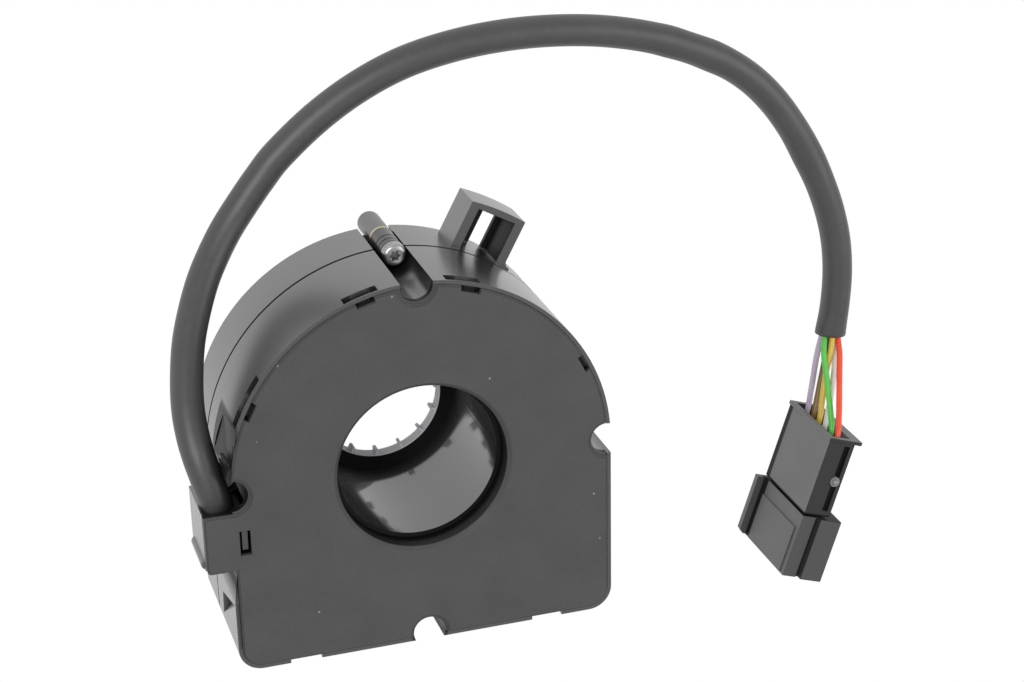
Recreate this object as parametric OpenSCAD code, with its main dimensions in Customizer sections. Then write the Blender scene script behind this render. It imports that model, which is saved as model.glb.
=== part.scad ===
// Steering angle sensor: a D-shaped two-part housing round a turning hub, with its lead and connector.
// It lies on its back on the hub's rear collar, so +Z is the bore axis and points out of the front plate.
// The origin is on the bore axis, on the surface that the sensor lies on.

/* [Housing] */
// Radius of the housing's round top
body_r = 44.4; // [43:0.1:47]
// From the bore axis to the flat bottom
body_drop = 43.8; // [42:0.1:46]
// Rounding of the two bottom corners
corner_r = 5.5; // [4:0.5:8]
// Height of the housing from its rear rim to its front face
body_depth = 38; // [36:0.5:44]
// How far the hub's collar stands out behind the housing
stand_off = 6; // [5:0.5:8]
// Wall of the moulded shells
wall = 2; // [1.6:0.1:2.4]
// Height of the seam above the rear rim
seam_h = 14.8; // [14:0.2:17]
// Width of the open seam line
seam_gap = 0.5; // [0.3:0.1:0.8]
// Depth of the tongue that locates the front shell in the rear one
tongue_h = 2.4; // [1.5:0.1:3]

/* [Front cover] */
// Thickness of the front plate
cover_t = 2.6; // [2.2:0.1:3]
// From the housing's outer wall to the plate's edge
cover_inset = 1; // [0.8:0.1:1.3]
// How far the plate stands out of the wall round it
cover_proud = 0.6; // [0.4:0.1:1]
// Height of the stepped edge of the plate
edge_step = 0.4; // [0.2:0.1:0.6]
// Radius of the hole in the plate
hole_r = 19.7; // [19.6:0.1:19.9]
// Length of the collar round that hole, from the front face
hole_depth = 4.3; // [3.6:0.1:5]
// Radius of the lip round the hole
hole_lip_r = 20.6; // [20.3:0.1:21]
// Width of the shallow steps in the bottom edge
foot_notch_w = 7.2; // [6:0.2:9]
// Depth of those steps
foot_notch_d = 0.9; // [0.6:0.1:1.4]

/* [Screw channels] */
// Radius of the four channels
channel_r = 3.75; // [3.6:0.05:3.9]
// From the housing's outer wall in to the centre of a channel
channel_sink = 0.95; // [0.4:0.05:1.4]
// From the flat bottom in to the centre of the lowest channel
channel_sink_low = 1.7; // [1:0.1:2.4]
// Wall round a channel inside the housing
channel_wall = 1.5; // [1.2:0.1:1.8]

/* [Hub] */
// Inner radius of the hub
hub_bore_r = 18.6; // [18:0.1:18.7]
// Outer radius of the hub
hub_r = 20; // [19.8:0.1:20]
// Height of the hub's front end below the front face
hub_sink = 5.5; // [5:0.1:6]
// Radial clearance of the hub in its bearing
hub_play = 0.06; // [0.04:0.01:0.1]
// Inner radius of the driver ring
driver_r = 15.2; // [15:0.1:16]
// Height of the driver ring's inner wall
driver_h = 3.1; // [2.6:0.1:3.2]
// Height of the ring's outer step, which the hub's bore ends on
driver_step_h = 3.35; // [3.2:0.05:3.6]
// Number of ribs in the driver ring
driver_ribs = 15; // [12:1:24]
// How far a rib stands into the ring
driver_rib_d = 1.2; // [0.6:0.1:1.6]
// Width of a rib
driver_rib_w = 0.7; // [0.5:0.1:1.4]
// Where the first rib stands round the bore, in degrees
driver_rib_at = 2.8; // [0:0.2:24]

/* [Gears] */
// Tooth module
gear_m = 1; // [1:0.01:1.02]
// Teeth on the hub
hub_teeth = 43; // [43:1:44]
// Teeth on the first measuring gear
teeth_a = 16; // [15:1:17]
// Teeth on the second measuring gear
teeth_b = 17; // [16:1:18]
// Where the first measuring gear stands round the bore, in degrees
gear_a_at = -55; // [-58:1:-52]
// Where the second measuring gear stands round the bore, in degrees
gear_b_at = -125; // [-128:1:-122]
// Height of the measuring gears
gear_h = 7; // [6.5:0.1:7.4]
// Height of the hub's toothed ring
gear_ring_h = 4; // [3:0.2:5]
// Extra distance between the gear centres
gear_slack = 0.15; // [0.1:0.05:0.2]
// Radius of the posts that the measuring gears turn on
post_r = 2; // [1.8:0.1:2.2]
// Radial clearance of a gear on its post
post_play = 0.06; // [0.04:0.01:0.1]
// Radius of a magnet
magnet_r = 2.5; // [2:0.1:3]
// Thickness of a magnet
magnet_t = 2.4; // [2:0.1:2.8]

/* [Circuit board] */
// Inner radius of the board
board_in_r = 24.6; // [24:0.1:26]
// From the housing's outer wall to the board's edge
board_gap = 7; // [6.6:0.1:8]
// Thickness of the board
board_t = 1.6; // [1.2:0.2:2]
// Height of the board's underside below the front face
board_sink = 11; // [10.6:0.1:11.4]
// Thickness of an angle chip
chip_t = 1.3; // [1:0.1:1.4]

/* [Strap loop] */
// Where the loop stands round the bore, in degrees
loop_at = 61.5; // [58:0.1:64]
// Width of the loop across
loop_w = 14.1; // [13:0.1:17]
// Radius of the loop's outer face
loop_r = 56; // [54:0.2:58]
// Depth of the loop along the bore axis
loop_depth = 10; // [8:0.5:11]
// Height of the loop above the rear rim
loop_lift = 3; // [2:0.5:4]
// Side walls of the loop
loop_wall = 2.3; // [1.8:0.1:2.6]
// Outer wall of the loop
loop_outer_wall = 1.6; // [1.2:0.1:2]
// Width of the slot in the loop's back plate
loop_slot_w = 3.5; // [3:0.1:5]
// How far the back plate's right lip closes the opening
loop_lip = 1.15; // [0.7:0.05:1.6]
// Thickness of the back plate
loop_lip_t = 1.2; // [1:0.1:2]

/* [Cable outlet] */
// How far the outlet block stands out of the side wall
outlet_out = 5.6; // [5.6:0.1:6.4]
// Height of the outlet block along the side wall
outlet_len = 13.8; // [13:0.2:16]
// Depth of the outlet block from the front face
outlet_depth = 18; // [17:0.5:20]
// From the bore axis down to the block's top
outlet_drop = 4.2; // [4.2:0.1:5]
// Wall of the outlet block
outlet_wall = 0.5; // [0.4:0.1:0.6]

/* [Fixing screw] */
// Radius of the screw head
head_r = 2.85; // [2.6:0.05:3]
// Height of the screw head
head_h = 2.2; // [1.8:0.1:2.6]
// Radius of the screw's shank
shank_r = 2; // [1.8:0.1:2.1]
// Radius of the collar and the sleeve on the shank
sleeve_r = 2.75; // [2.5:0.05:2.9]
// Height of the top of the screw head above the rear rim
screw_top = 18.8; // [17:0.2:20]
// Length of the dark collar
collar_len = 9.2; // [8:0.2:10]
// Length of the brass ring
brass_len = 0.8; // [0.6:0.1:1.2]
// How far the metal sleeve stands out behind the housing
sleeve_out = 5.6; // [4.6:0.2:5.8]

/* [Lead] */
// Outer diameter of the lead's sleeve
cable_d = 7.4; // [7.2:0.1:7.4]
// Outer diameter of one wire
wire_d = 1.5; // [1.3:0.1:1.6]

/* [Connector] */
// Direction in which the connector points, in degrees from +X
conn_at = -108.3; // [-112:0.1:-104]
// Width of the connector, which stands upright
conn_w = 23.5; // [23:0.1:25]
// Thickness of the rear body
conn_t = 7.25; // [7:0.05:8]
// Length of the rear body
conn_len = 21; // [20:0.5:22]
// Length of the front shroud
shroud_len = 17.4; // [16:0.2:19]
// Thickness of the front shroud
shroud_t = 10.6; // [10:0.1:12]
// Wall of the connector's mouldings
conn_wall = 1.1; // [0.9:0.1:1.3]
// Depth of the open pocket at the connector's back
conn_pocket = 5; // [4:0.5:7]
// How far the contacts reach into the shroud
pin_reach = 9; // [7:0.5:10]
// How far the foot rail stands out of the wide face
rail_out = 2.5; // [2:0.1:3]

/* [Hidden] */
$fn = 96;
eps = 0.01;
zr = stand_off;                                  // rear rim
zf = stand_off + body_depth;                     // front face
z_seam = zr + seam_h;
z_wall = zf - cover_proud;                       // top of the wall round the plate
floor_t = 2.2;
// Hub and bearing
bearing_r = hub_r + hub_play;
bearing_wall = 2.3;
hub_top = zf - hub_sink;
flange_r = bearing_r + bearing_wall + 0.2;       // the ring's outer flange keeps the hub in
flange_gap = 0.5;                                // between that flange and the rear face
guide_wall = 1.3;
guide_len = 5.4;
// Board
board_z = zf - board_sink;
chip_air = 1.2;                                  // between a magnet and its angle chip
gear_z = board_z - chip_t - chip_air - gear_h;   // underside of the gears and of the hub's toothed ring
board_out_r = body_r - board_gap;
board_mid_r = (board_in_r + board_out_r) / 2;
board_screw_xy = [for (a = [38, 142]) board_mid_r * [cos(a), sin(a)]];
board_post_r = 3;
board_screw_r = 1;
header_xy = [0.4 - board_mid_r, -2];
header_size = [4, 15.6, 5.5];
// Gears
hub_pitch_r = gear_m * hub_teeth / 2;
gear_lift = 0.3;                                 // between a gear and what it runs on
gear_top = gear_z + gear_h;
dist_a = hub_pitch_r + gear_m * teeth_a / 2 + gear_slack;
dist_b = hub_pitch_r + gear_m * teeth_b / 2 + gear_slack;
gear_a_xy = [dist_a * cos(gear_a_at), dist_a * sin(gear_a_at)];
gear_b_xy = [dist_b * cos(gear_b_at), dist_b * sin(gear_b_at)];
// Cable outlet
outlet_x = -body_r - outlet_out;
outlet_y = -outlet_drop;
gland_x = -body_r - 1.3;
gland_z = zf - 7.6;
pocket_low = gland_z - cable_d / 2 - 1.6;
gland_len = 8;
gland_back = 0.9;                                // from the block's top down to the gland
// Channels and the screw in the top one
channel_xy = [[body_r - channel_sink, 0], [0, body_r - channel_sink], [channel_sink - body_r, 0],
    [0, channel_sink_low - body_drop]];
screw_xy = [0.25, body_r - 0.65];
collar_top = zr + screw_top - head_h;
brass_top = collar_top - collar_len;
sleeve_top = brass_top - brass_len;
sleeve_low = zr - sleeve_out;
// Latches of the front cover: place round the bore, and width
latches = [[105.6, 4.3], [73.6, 4.6], [152.7, 4.3], [27.4, 4.3]];
// Slots in the side wall that the latches reach: first and last angle
wall_slots = [[101, 111.3], [70.9, 81.3], [143.1, 158.8], [22, 33]];
slot_low = zf - 3.9;
slot_h = 2.9;
// Lead: points chosen along the way from the gland to the cut end of the sleeve
cable_points = [
    [-45.7, -12, 36.4], [-45.7, -8, 36.4], [-45.9, -4, 36.4], [-47.2, 1.4, 36], [-48.4, 6.4, 34.5],
    [-49, 10.4, 32.2], [-49.1, 15.2, 28.8], [-48.3, 20.5, 24.6], [-46.5, 27, 19.4], [-44, 32.6, 15],
    [-41, 38, 11], [-37.8, 42.6, 8], [-34, 47.6, 5.6], [-29.8, 52.6, 4.2], [-25, 58.4, 3.7],
    [-20.4, 63.5, 3.7], [-11.3, 71, 3.7], [-1.4, 77.1, 3.7], [9.3, 81.6, 3.7], [21.2, 84.3, 3.7],
    [33.6, 85.5, 3.7], [46.3, 85.3, 3.7], [59.2, 83.7, 3.7], [72.1, 80.4, 3.7], [84.8, 75.1, 3.7],
    [93.1, 69.9, 3.7], [99.8, 63.5, 3.7], [105.4, 56, 3.7], [109.8, 48.4, 3.7], [113.6, 40.6, 3.7],
    [116.6, 32.6, 3.7], [118.6, 24.4, 3.7], [119.4, 16, 3.7], [119.1, 7.6, 3.7], [118.1, -0.6, 3.7]];
cable_end = cable_points[len(cable_points) - 1];
// Connector: its own frame has X along its length, Y away from the wide face and Z up
conn_pos = [109.4, -19.2, 0];
foot = 0.8;                                      // height of the wide face's lower edge
wire_pitch = 3.5;
wire_low = 3.6;
function conn_point(p) = conn_pos + [
    p[0] * cos(conn_at) - p[1] * sin(conn_at), p[0] * sin(conn_at) + p[1] * cos(conn_at), p[2]];
// Wires: points chosen along the way from the sleeve's cut end to the connector
wire_points = [
    [[116.5, -0.6, 2.6], [115.5, -4.6, 2.7], [114.7, -8.6, 2.9], [114.1, -12.7, 3.1], [113.4, -16.7, 3.4]],
    [[118.3, -0.6, 1.8], [117.6, -4.8, 2.7], [116.6, -8.8, 3.9], [115.3, -12.8, 5], [114, -16.8, 6.1]],
    [[117.9, -0.6, 5.6], [117.1, -4.7, 6.5], [115.7, -8.7, 7.4], [114.6, -12.7, 8.5], [113.7, -16.7, 9.6]],
    [[119.9, -0.6, 2.9], [119, -4.9, 4.8], [117.9, -9, 7.3], [116.3, -12.9, 9.7], [114.5, -16.8, 12.1]],
    [[116.3, -0.6, 4.5], [115, -4.5, 6.9], [114.5, -8.5, 9.7], [113.9, -12.6, 12.5], [113.4, -16.6, 15.2]],
    [[119.7, -0.6, 4.8], [118.9, -4.8, 7.9], [117.4, -8.8, 11.3], [115.9, -12.7, 14.7], [114.3, -16.6, 18.2]]];

// D-shaped outline of the housing, drawn in by inset
module d_outline(inset = 0) {
    r = body_r - inset;
    drop = body_drop - inset;
    c = max(corner_r - inset, 0.8);
    intersection() {
        circle(r, $fn = 180);
        translate([-r, c - drop]) square([2 * r, r + drop]);
    }
    translate([-r, c - drop]) square([2 * r, drop - c]);
    translate([c - r, -drop]) square([2 * (r - c), drop]);
    for (s = [-1, 1]) translate([s * (r - c), c - drop]) circle(c);
}

// The four channels for fixing screws, grown by grow
module channels_2d(grow = 0) {
    for (p = channel_xy) translate(p) circle(channel_r + grow, $fn = 64);
}

// Ring sector between two angles
module sector(r_in, r_out, from, to) {
    steps = 8;
    arc = [for (i = [0:steps]) from + (to - from) * i / steps];
    polygon(concat([for (a = arc) r_in * [cos(a), sin(a)]],
        [for (i = [steps:-1:0]) r_out * [cos(arc[i]), sin(arc[i])]]));
}

// Wall of a shell in plan, with the wall round each channel
module shell_wall_2d(t = wall) {
    difference() {
        d_outline();
        difference() {
            d_outline(t);
            channels_2d(channel_wall);
        }
        channels_2d();
    }
}

module ring(r_in, r_out, h) {
    difference() {
        cylinder(r = r_out, h = h);
        translate([0, 0, -1]) cylinder(r = r_in, h = h + 2);
    }
}

module post(xy, low, high, r) {
    translate([xy[0], xy[1], low]) cylinder(r = r, h = high - low, $fn = 48);
}

// The strap loop: a box on the wall, open to the front, with a slotted plate at its back
module strap_loop() {
    low = zr + loop_lift;
    half = loop_w / 2;
    inner = half - loop_wall;
    inner_r = loop_r - loop_outer_wall;
    rotate(loop_at) difference() {
        union() {
            intersection() {
                translate([body_r - 1.5, -half, low]) cube([loop_r - body_r + 1.5, loop_w, loop_depth]);
                cylinder(r = loop_r, h = low + loop_depth, $fn = 180);
            }
            // Fillet at the loop's right foot
            translate([0, -half, low]) linear_extrude(loop_depth) difference() {
                translate([body_r - 1.4, -1.5]) square([2.6, 1.6]);
                translate([body_r + 1.2, -1.5]) circle(1.5, $fn = 48);
            }
        }
        translate([0, 0, low + loop_lip_t]) linear_extrude(loop_depth) difference() {
            translate([body_r - 3, -inner]) square([inner_r - body_r + 3, 2 * inner]);
            circle(body_r - 0.2, $fn = 180);
        }
        translate([0, loop_lip - inner, low - 1]) linear_extrude(loop_depth) difference() {
            translate([body_r - 3, 0]) square([inner_r - body_r + 1.4, loop_slot_w]);
            translate([0, inner - loop_lip]) circle(body_r - 0.2, $fn = 180);
        }
    }
}

// Rear shell: floor, bearing, gear posts, board posts, channels, strap loop and tongue
module rear_shell() {
    color("#1c1c1e") difference() {
        union() {
            translate([0, 0, zr]) linear_extrude(seam_h - seam_gap) shell_wall_2d();
            translate([0, 0, zr]) linear_extrude(floor_t) difference() {
                d_outline(wall / 2);
                channels_2d();
            }
            translate([0, 0, zr]) cylinder(r = bearing_r + bearing_wall, h = gear_z - gear_lift - zr);
            for (p = [gear_a_xy, gear_b_xy]) {
                post(p, zr + 0.5, gear_z - gear_lift, post_r + 1.4);
                post(p, zr + 0.5, gear_z + gear_h - magnet_t - 1, post_r);
            }
            for (p = board_screw_xy) post(p, zr + 0.5, board_z, board_post_r);
            translate([0, 0, zr + 1]) linear_extrude(seam_h + tongue_h - 1) difference() {
                d_outline(wall + 0.05);
                d_outline(wall + 1.2);
                channels_2d(channel_wall + 0.3);
            }
            strap_loop();
            // Land that the screw's sleeve is pressed into
            translate([0, 0, zr + 2]) linear_extrude(4) difference() {
                translate([channel_xy[1][0] - channel_r, channel_xy[1][1] - channel_r - 0.5])
                    square([2 * channel_r, channel_r + 0.3]);
                translate(screw_xy) circle(sleeve_r, $fn = 64);
            }
        }
        translate([0, 0, zr - 1]) cylinder(r = bearing_r, h = body_depth);
        for (p = board_screw_xy) translate([p[0], p[1], board_z - 5]) cylinder(r = board_screw_r, h = 6, $fn = 32);
    }
}

// Front shell: wall, channels, latch slots, outlet block and its pocket
module front_shell() {
    color("#232326") difference() {
        union() {
            translate([0, 0, z_seam]) linear_extrude(z_wall - z_seam) shell_wall_2d();
            // Ledge that the cover lies on
            translate([0, 0, zf - cover_t - 1.6]) linear_extrude(1.6) difference() {
                d_outline(wall / 2);
                d_outline(wall + 1);
                channels_2d();
            }
            translate([outlet_x, outlet_y - outlet_len, zf - outlet_depth])
                cube([outlet_out + wall, outlet_len, outlet_depth - cover_t]);
            // Lug along the block's lower edge, with a round top
            translate([outlet_x + 0.6, outlet_y - outlet_len + 0.7, zf - outlet_depth + 1.6]) {
                cylinder(r = 1.3, h = 11.8, $fn = 32);
                translate([0, 0, 11.8]) sphere(r = 1.3, $fn = 32);
            }
        }
        // Seat of the cover's plate
        translate([0, 0, zf - cover_t]) linear_extrude(cover_t) d_outline(cover_inset - 0.12);
        translate([outlet_x - 1, outlet_y - outlet_len - 0.12, zf - cover_t])
            cube([outlet_out + wall + 1, outlet_len + 0.24, cover_t]);
        for (s = wall_slots) translate([0, 0, slot_low]) linear_extrude(slot_h)
            sector(body_r - wall - 2, body_r + 1, s[0], s[1]);
        // Pocket for the gland, open at the block's top and towards the inside
        translate([outlet_x + outlet_wall, outlet_y - outlet_len + 2, pocket_low])
            cube([outlet_out + wall + 2, outlet_len, zf - pocket_low]);
        // Notches in the side wall above and below the block, and the clip's seat
        wall_notch();
        translate([-body_r, 0, zf - outlet_depth - 5]) linear_extrude(outlet_depth + 5)
            polygon([[-2, outlet_y - outlet_len], [1, outlet_y - outlet_len], [0, outlet_y - outlet_len - 8.5],
                [-2, outlet_y - outlet_len - 8.5]]);
        hull() {
            clip_bar();
            translate([-1.5, 0, 0]) clip_bar();
        }
        // Room for the cover's latches
        for (l = latches) rotate(l[0]) translate([body_r - wall - 1.6, 0.2 - l[1] / 2, zf - 6])
            cube([1.8, l[1] - 0.4, 6]);
        // Shallow steps in the bottom edge
        foot_steps(zf - 6);
    }
}

// Two tapered notches: the upper one gives the lead room, the lower one is its smaller twin
module wall_notch() {
    translate([-body_r, 0, zf]) {
        hull() polyhedron([[2.5, 14.6, -12.6], [0.3, 5.2, -15.3], [2, 7.5, -7.8], [2.9, 15.8, 0.1], [1.8, 7, 0.1],
            [-2, 5.2, -15.3], [-2, 14.6, -12.6], [-2, 15.8, 0.1], [-2, 4.5, 0.1]], [[0, 1, 2], [3, 4, 5], [6, 7, 8]]);
        hull() polyhedron([[0, -31.5, -16.7], [0, -37.6, -17.7], [0, -26.5, 0.1], [1.6, -34.5, -16.2],
            [-2, -31.5, -16.7], [-2, -37.6, -17.7], [-2, -26.5, 0.1]], [[0, 1, 2], [3, 4, 5], [6, 5, 4]]);
    }
}

// The two shallow steps in the bottom edge, from the height low upwards
module foot_steps(low) {
    for (x = [15.3 - body_r, body_r - 16]) translate([x - foot_notch_w / 2, -body_drop - 1, low])
        cube([foot_notch_w, foot_notch_d + 1, zf - low + 1]);
}

// One latch of the cover: a leg with a hook, at the right of the X axis
module latch(w) {
    translate([body_r - wall - 1.1, -w / 2 + 0.5, zf - cover_t - 2.6]) cube([1, w - 1, cover_t + 2.2]);
    translate([body_r - wall - 0.2, -w / 2 + 0.5, zf - cover_t - 1.2]) cube([0.9, w - 1, 1]);
}

// Front cover: plate with its stepped edge, channel notches, tab, hole with collar, and latches
module front_cover() {
    color("#4b4b4d") difference() {
        union() {
            translate([0, 0, zf - cover_t]) linear_extrude(cover_t - 2 * edge_step) cover_2d(0, 0);
            translate([0, 0, zf - 2 * edge_step]) linear_extrude(edge_step) cover_2d(0, 0.45);
            translate([0, 0, zf - edge_step]) linear_extrude(edge_step) cover_2d(0.35, 0.9);
            translate([0, 0, zf - hole_depth]) cylinder(r = bearing_r + guide_wall, h = hole_depth - edge_step);
            translate([0, 0, zf - cover_t - guide_len]) ring(bearing_r, bearing_r + guide_wall, guide_len);
            for (l = latches) rotate(l[0]) latch(l[1]);
        }
        translate([0, 0, zf - hole_depth - 1]) cylinder(r = hole_r, h = hole_depth + 2);
        translate([0, 0, zf - hole_depth - guide_len]) cylinder(r = bearing_r, h = guide_len);
        translate([0, 0, zf - 0.9]) cylinder(r1 = hole_r, r2 = hole_lip_r + 0.02, h = 0.92);
        for (l = latches) rotate(l[0]) translate([body_r - cover_inset - 1.3, -l[1] / 2, zf - cover_t - eps])
            difference() {
                cube([2.4, l[1], cover_t + 1]);
                translate([-1, 0.8, 0]) cube([1.9, l[1] - 1.6, cover_t - 1.5]);
            }
        // Window beside the tab, with a tongue that hangs in it
        translate([wall - body_r, outlet_y - outlet_len + 3.7, zf - cover_t - 1]) difference() {
            cube([2.5, 6, cover_t + 2]);
            translate([0.6, 1.2, 0]) rotate([2.5, 0, 0]) cube([1.3, 5.8, cover_t + 0.3]);
        }
        foot_steps(zf - cover_t - 1);
    }
}

// Plan of the plate and its tab
module cover_2d(inset, grow) {
    difference() {
        union() {
            d_outline(cover_inset + inset);
            tab_w = outlet_out + 3;
            translate([outlet_x + inset, outlet_y - outlet_len + inset + 1])
                square([tab_w, outlet_len - 1 - 2 * inset]);
            translate([outlet_x + inset + 1, outlet_y - outlet_len + inset]) square([tab_w, outlet_len - 2 * inset]);
            translate([outlet_x + inset + 1, outlet_y - outlet_len + inset + 1]) circle(1, $fn = 32);
        }
        channels_2d(grow);
    }
}

// Gear in plan: root disc and trapezoid teeth, the first at the angle phase
module gear_2d(teeth, phase) {
    pitch_r = gear_m * teeth / 2;
    root_r = pitch_r - 1.2 * gear_m;
    tip_r = pitch_r + 0.9 * gear_m;
    circle(root_r + 0.02);
    for (k = [0:teeth - 1]) rotate(phase + k * 360 / teeth)
        polygon([[root_r - 0.3, -0.95 * gear_m], [pitch_r, -0.68 * gear_m], [tip_r, -0.3 * gear_m],
            [tip_r, 0.3 * gear_m], [pitch_r, 0.68 * gear_m], [root_r - 0.3, 0.95 * gear_m]]);
}

// Angle of a follower's first tooth, so that it meshes with the hub's teeth in the direction at
function mesh_phase(at, teeth) =
    let (p = (at - gear_a_at) * hub_teeth / 360) at + 180 - (0.5 - (p - floor(p))) * 360 / teeth;

// Hub: tube with its toothed ring
module rotor_hub() {
    color("#2b2b2d") difference() {
        union() {
            translate([0, 0, driver_step_h]) cylinder(r = hub_r, h = hub_top - driver_step_h - 0.4);
            translate([0, 0, hub_top - 0.4]) cylinder(r1 = hub_r, r2 = hub_r - 0.4, h = 0.4);
            translate([0, 0, gear_z]) linear_extrude(gear_ring_h) gear_2d(hub_teeth, gear_a_at);
        }
        translate([0, 0, -1]) cylinder(r = hub_bore_r, h = zf);
    }
}

// Driver ring: it closes the hub's rear end, keeps it in the housing and takes the column's drive
module driver_ring() {
    color("#8d8f96") {
        rotate_extrude() polygon([[driver_r, 0], [flange_r - 0.4, 0], [flange_r, 0.4],
            [flange_r, zr - flange_gap], [hub_r, zr - flange_gap], [hub_r, driver_step_h],
            [driver_r + 1.9, driver_step_h], [driver_r + 1.9, driver_h], [driver_r, driver_h]]);
        for (k = [0:driver_ribs - 1]) rotate(driver_rib_at + k * 360 / driver_ribs)
            translate([driver_r - driver_rib_d, -driver_rib_w / 2, 0]) cube([driver_rib_d + 0.4, driver_rib_w, driver_h]);
    }
}

module measuring_gear(xy, teeth, phase) {
    translate([xy[0], xy[1], gear_z]) difference() {
        linear_extrude(gear_h) gear_2d(teeth, phase);
        translate([0, 0, -1]) cylinder(r = post_r + post_play, h = gear_h - magnet_t, $fn = 64);
        translate([0, 0, gear_h - magnet_t]) cylinder(r = magnet_r, h = magnet_t + 1, $fn = 64);
    }
}

module measuring_gear_a() {
    color("#e8e4d8") measuring_gear(gear_a_xy, teeth_a, mesh_phase(gear_a_at, teeth_a));
}

module measuring_gear_b() {
    color("#e8e4d8") measuring_gear(gear_b_xy, teeth_b, mesh_phase(gear_b_at, teeth_b));
}

module magnet(xy) {
    color("#7f8287") translate([xy[0], xy[1], gear_top - magnet_t]) cylinder(r = magnet_r, h = magnet_t, $fn = 64);
}

module magnet_a() magnet(gear_a_xy);
module magnet_b() magnet(gear_b_xy);

module circuit_board() {
    color("#20603a") translate([0, 0, board_z]) linear_extrude(board_t) difference() {
        d_outline(board_gap);
        circle(board_in_r);
        channels_2d(channel_wall + 0.5);
        for (p = board_screw_xy) translate(p) circle(board_screw_r + 0.15, $fn = 32);
    }
}

module chip(xy, size, at = 0) {
    translate([xy[0], xy[1], 0]) rotate(at) translate([-size[0] / 2, -size[1] / 2, 0]) cube(size);
}

// Angle chip under the board, over a magnet, with its leads
module angle_chip(xy, at) {
    translate([0, 0, board_z - chip_t]) {
        color("#161616") chip(xy, [4, 4.9, chip_t - 0.1], at);
        color("#c9c9c9") for (k = [-1.5:1:1.5])
            translate([xy[0], xy[1], 0]) rotate(at) translate([-3, k * 1.27 - 0.2, chip_t - 0.3]) cube([6, 0.4, 0.3]);
    }
}

module angle_chip_a() angle_chip(gear_a_xy, gear_a_at);
module angle_chip_b() angle_chip(gear_b_xy, gear_b_at);

module processor_chip() {
    translate([0, 0, board_z + board_t]) {
        color("#161616") translate([0, 0, 0.1]) chip([0, board_mid_r], [7, 7, 1.3]);
        color("#c9c9c9") for (a = [0:90:270]) translate([0, board_mid_r, 0]) rotate(a)
            for (k = [-3.5:1:3.5]) translate([3.2, k * 0.8 - 0.15, 0]) cube([1.2, 0.3, 0.3]);
    }
}

module board_capacitors() {
    color("#b49a70") for (a = [207:12:243]) rotate(a) translate([board_mid_r - 0.5, 0, board_z + board_t])
        translate([-1.6, -0.8, 0]) cube([3.2, 1.6, 1.2]);
    color("#8a8a8a") for (a = [300:12:348]) rotate(a) translate([board_mid_r, 0, board_z + board_t])
        translate([-1, -0.6, 0]) cube([2, 1.2, 0.6]);
}

module wire_header() {
    translate([header_xy[0], header_xy[1], board_z + board_t]) {
        color("#2c2c2e") translate([-header_size[0] / 2, -header_size[1] / 2, 0]) cube([header_size[0], header_size[1], 3]);
        color("#c8b070") for (k = [-2.5:1:2.5])
            translate([-0.3, k * 2.5 - 0.3, 3]) cube([0.6, 0.6, header_size[2] - 3]);
    }
}

module board_screws() {
    color("#c4c6ca") for (p = board_screw_xy) translate([p[0], p[1], 0]) {
        translate([0, 0, board_z + board_t]) difference() {
            cylinder(r = 1.9, h = 1.4, $fn = 32);
            translate([0, 0, 0.7]) for (a = [0, 90]) rotate(a) translate([-1.2, -0.25, 0]) cube([2.4, 0.5, 1]);
        }
        translate([0, 0, board_z - 4.5]) cylinder(r = board_screw_r, h = board_t + 4.6, $fn = 32);
    }
}

// Button-head screw with a six-lobed socket, in the top channel
module fixing_screw() {
    color("#d4d6d8") translate([screw_xy[0], screw_xy[1], 0]) difference() {
        union() {
            rotate_extrude($fn = 64) polygon(concat([[0, collar_top], [head_r, collar_top], [head_r, collar_top + 0.5]],
                [for (a = [15:15:75]) [1.7 + (head_r - 1.7) * cos(a), collar_top + 0.5 + (head_h - 0.5) * sin(a)]],
                [[1.7, collar_top + head_h], [0, collar_top + head_h]]));
            translate([0, 0, sleeve_low + 3]) cylinder(r = shank_r, h = collar_top - sleeve_low - 2.9, $fn = 48);
        }
        translate([0, 0, collar_top + head_h - 1.4]) linear_extrude(2) {
            circle(0.95, $fn = 32);
            for (a = [0:60:300]) rotate(a) translate([1, 0]) circle(0.3, $fn = 24);
        }
    }
}

module collar_ring(low, h, r) {
    translate([screw_xy[0], screw_xy[1], low]) difference() {
        cylinder(r = r, h = h, $fn = 64);
        translate([0, 0, -1]) cylinder(r = shank_r, h = h + 2, $fn = 48);
    }
}

module screw_collar() {
    color("#3a3b3e") difference() {
        collar_ring(brass_top, collar_len, sleeve_r);
        for (z = [2.4, 4.6]) translate([screw_xy[0], screw_xy[1], collar_top - z]) difference() {
            cylinder(r = sleeve_r + 1, h = 0.4, $fn = 64);
            cylinder(r = sleeve_r - 0.25, h = 0.4, $fn = 64);
        }
    }
}

module brass_ring() {
    color("#cdbb7a") collar_ring(sleeve_top, brass_len, sleeve_r + 0.08);
}

// Metal sleeve with a domed blind end
module spacer_sleeve() {
    color("#b9bbbe") translate([screw_xy[0], screw_xy[1], 0]) difference() {
        rotate_extrude($fn = 64) polygon(concat([[0, sleeve_top], [sleeve_r, sleeve_top]],
            [for (a = [0:15:90]) [sleeve_r - 1.2 + 1.2 * cos(a), sleeve_low + 1.2 - 1.2 * sin(a)]],
            [[0, sleeve_low]]));
        translate([0, 0, sleeve_low + 3]) cylinder(r = shank_r, h = sleeve_top - sleeve_low, $fn = 48);
    }
}

// Rubber gland that fills the outlet's pocket round the lead
module cable_gland() {
    color("#141415") difference() {
        translate([outlet_x + outlet_wall + 0.3, outlet_y - gland_back - gland_len, pocket_low])
            cube([outlet_out + wall + 1, gland_len, zf - cover_t - pocket_low]);
        translate([gland_x, outlet_y + 1, gland_z]) rotate([90, 0, 0]) cylinder(r = cable_d / 2, h = gland_len + 4);
    }
}

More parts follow.
